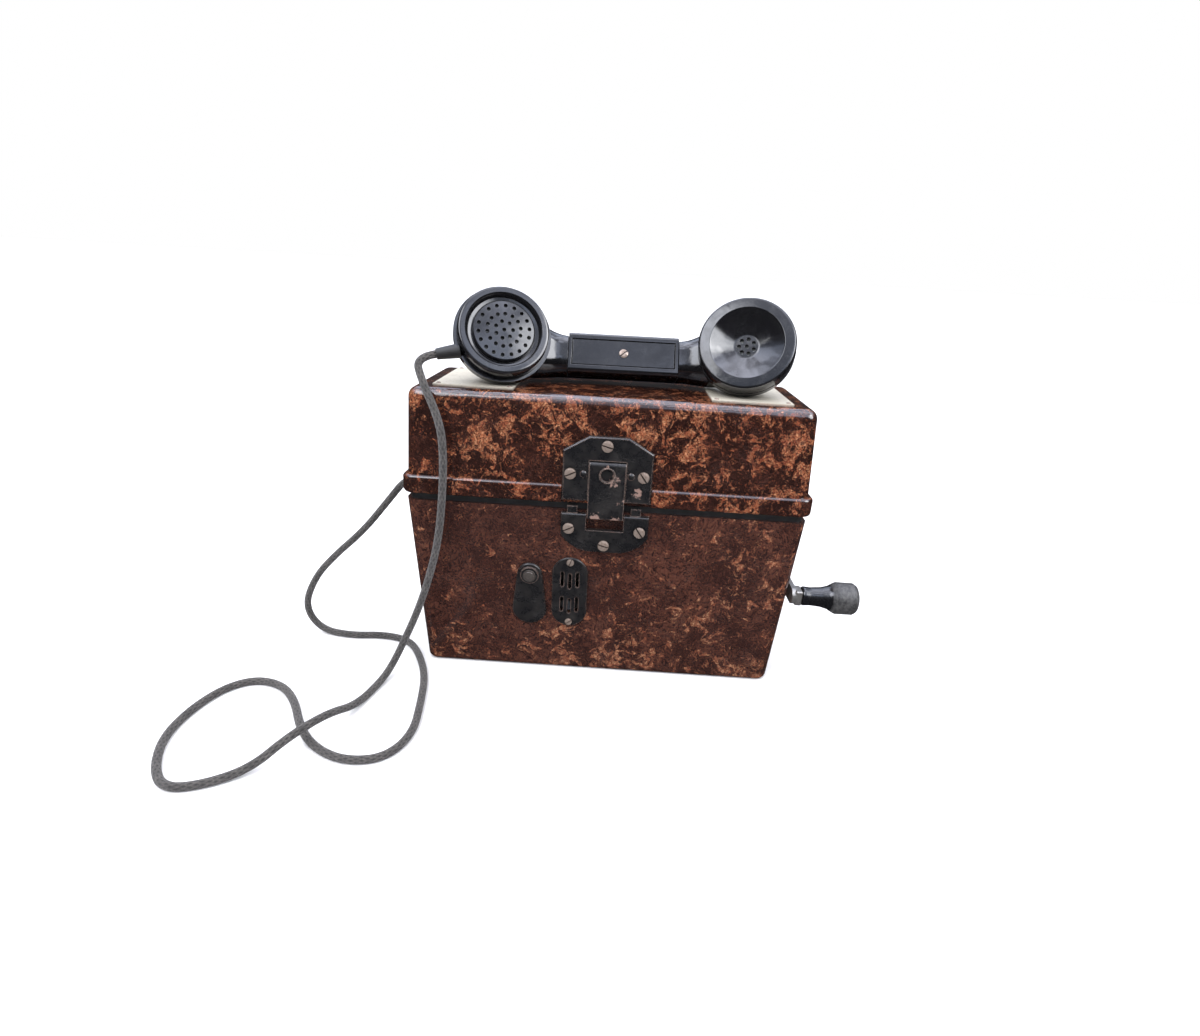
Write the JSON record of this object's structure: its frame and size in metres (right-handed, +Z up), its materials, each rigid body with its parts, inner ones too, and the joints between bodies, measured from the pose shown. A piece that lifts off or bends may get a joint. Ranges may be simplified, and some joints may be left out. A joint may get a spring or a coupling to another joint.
{
  "type": "field telephone",
  "caption": "Portable field telephone: moulded box with a latched lid, hand crank, louvred sound plate, swivel cover, and a corded handset resting on the lid.",
  "frame": {"origin": "centre of the case's base face", "axes": "+X towards the crank, -Y out of the latch side, +Z up"},
  "size_m": [0.4517, 0.2496, 0.2728],
  "materials": {
    "case_resin": "glossy mottled dark brown moulded resin",
    "lid_resin": "glossy mottled brown and orange moulded resin",
    "black_moulding": "polished black moulding, rubbed on its edges",
    "black_paint": "black paint chipped to the metal at its edges",
    "nickel": "dull nickel",
    "steel": "plain steel",
    "brass": "plain brass",
    "plate_metal": "satin, lightly scratched",
    "copper_winding": "enamelled copper wire, its density taken as brass",
    "card": "waxed card",
    "capsule_metal": "spun sheet",
    "rubber": "matt black rubber",
    "braid": "grey-black braided cotton"
  },
  "bodies": {
    "case": {"case_shell": "case_resin", "lid_seal": "rubber", "case_hinge_leaves": "black_paint", "hinge_pins": "nickel", "case_screws": "nickel", "keeper_plate": "black_paint", "sound_plate": "black_paint", "cover_pivot": "nickel", "jack_socket": "brass", "inner_panel": "black_moulding", "line_terminals": "nickel", "handset_rests": "rubber", "shaft_bush": "brass", "generator_frame": "steel", "generator_magnets": "steel", "gongs": "steel", "gong_posts": "steel", "ringer_frame": "steel", "ringer_coils": "copper_winding", "clapper_pin": "steel", "battery_box": "steel", "battery_cells": "card", "capacitor_can": "steel", "induction_bobbin": "card", "induction_winding": "copper_winding", "cord_gland": "rubber", "cord_tail": "braid", "cord_floor_run": "braid", "cord_rising_run": "braid"},
    "lid": {"lid_shell": "lid_resin", "lid_hinge_leaves": "black_paint", "name_plates": "plate_metal", "plate_nails": "nickel", "latch_plate": "black_paint", "hasp_pin": "nickel", "hasp_spring": "steel", "lid_screws": "nickel", "cord_lid_run": "braid"},
    "hasp": {"latch_hasp": "black_paint"},
    "cover": {"swivel_cover": "black_paint"},
    "crank": {"crank_shaft": "steel", "drive_gear": "brass", "crank_arm": "steel", "hub_nut": "nickel", "crank_spindle": "steel"},
    "grip": {"crank_grip": "black_moulding"},
    "armature": {"armature_core": "steel", "armature_winding": "copper_winding", "armature_pinion": "brass"},
    "striker": {"clapper": "steel"},
    "handset": {"handset_shell": "black_moulding", "mouthpiece_cap": "black_moulding", "earpiece_cap": "black_moulding", "transmitter_capsule": "capsule_metal", "receiver_capsule": "capsule_metal", "contact_springs": "brass", "cord_boot": "rubber"},
    "key": {"talk_key": "black_moulding", "key_plate": "black_moulding", "key_screw": "nickel"}
  },
  "joints": [
    {"name": "lid_hinge", "type": "hinge", "parent": "case", "child": "lid", "pos_m": [0, 0.0563, 0.1345], "axis": [-1, 0, 0], "range_deg": [0, 100], "deforming": ["cord_rising_run"]},
    {"name": "hasp_pivot", "type": "hinge", "parent": "lid", "child": "hasp", "pos_m": [0, -0.05047, 0.16405], "axis": [-1, 0, 0], "range_deg": [0, 28], "stiffness_Nm_per_rad": 0.05, "springref_deg": -17.19},
    {"name": "cover_swing", "type": "hinge", "parent": "case", "child": "cover", "pos_m": [-0.0513, -0.04838, 0.08024], "axis": [0, -0.9993, -0.0371], "range_deg": [-100, 0]},
    {"name": "crank_turn", "type": "hinge", "parent": "case", "child": "crank", "pos_m": [0.133, 0.004, 0.072], "axis": [1, 0, 0], "continuous": true},
    {"name": "grip_turn", "type": "hinge", "parent": "crank", "child": "grip", "pos_m": [0.16, -0.04, 0.072], "axis": [1, 0, 0], "continuous": true},
    {"name": "armature_turn", "type": "hinge", "parent": "case", "child": "armature", "pos_m": [0.075, -0.0021, 0.035], "axis": [1, 0, 0], "continuous": true},
    {"name": "clapper_rock", "type": "hinge", "parent": "case", "child": "striker", "pos_m": [0.00185, 0.004, 0.058], "axis": [1, 0, 0], "range_deg": [-2, 2], "stiffness_Nm_per_rad": 0.05},
    {"name": "handset_lift", "type": "slide", "parent": "lid", "child": "handset", "axis": [0, 0, 1], "range_m": [0, 0.04], "deforming": ["cord_lid_run"]},
    {"name": "talk_key_press", "type": "slide", "parent": "handset", "child": "key", "axis": [-0.0399, 0.8779, -0.4772], "range_m": [0, 0.0028], "stiffness_N_per_m": 600, "springref_m": -0.002}
  ],
  "couplings": [
    {"joint": "armature_turn", "follows": "crank_turn", "ratio": -4}
  ]
}
